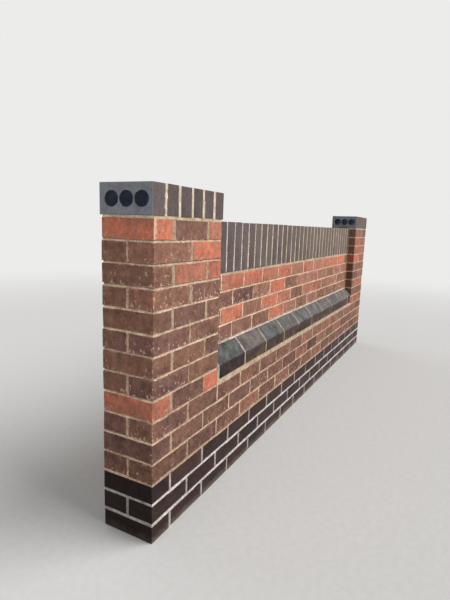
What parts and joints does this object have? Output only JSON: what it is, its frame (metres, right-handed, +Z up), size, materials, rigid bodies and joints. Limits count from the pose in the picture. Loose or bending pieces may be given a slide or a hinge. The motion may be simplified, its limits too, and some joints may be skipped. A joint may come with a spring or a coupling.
{
  "type": "brick garden wall",
  "caption": "Low brick wall between two square piers, with a recessed panel over a sloped blue course, a soldier-course top and brick-on-edge pier copings.",
  "frame": {"origin": "ground level, under the middle of the wall's base", "axes": "+X along the wall from the near pier to the far pier, -Y towards the street, +Z up"},
  "size_m": [3.381, 0.215, 1.2275],
  "materials": {
    "blue_brick": "dense blue engineering brick, dull, with a slight sheen and worn edges",
    "red_brick": "red to brown multi facing brick with a creased, sandy face",
    "mortar": "buff sand and cement mortar, brushed and slightly recessed"
  },
  "bodies": {
    "root": {"base_brickwork": "red_brick", "base_plinth": "blue_brick", "cant_bed": "mortar", "cant_core": "mortar", "far_coping_bed": "mortar", "far_coping_brick_1": "blue_brick", "far_coping_brick_2": "blue_brick", "far_coping_brick_3": "blue_brick", "far_coping_brick_4": "blue_brick", "far_coping_brick_5": "blue_brick", "far_coping_brick_6": "blue_brick", "far_coping_joints": "mortar", "far_pier_plinth": "blue_brick", "far_pier_shaft": "red_brick", "garden_cant_course": "blue_brick", "garden_cant_joints": "mortar", "near_coping_bed": "mortar", "near_coping_brick_1": "blue_brick", "near_coping_brick_2": "blue_brick", "near_coping_brick_3": "blue_brick", "near_coping_brick_4": "blue_brick", "near_coping_brick_5": "blue_brick", "near_coping_brick_6": "blue_brick", "near_coping_joints": "mortar", "near_pier_plinth": "blue_brick", "near_pier_shaft": "red_brick", "panel_bed": "mortar", "panel_brickwork": "red_brick", "soldier_bed": "mortar", "soldier_course": "blue_brick", "soldier_joints": "mortar", "street_cant_course": "blue_brick", "street_cant_joints": "mortar"}
  },
  "joints": []
}
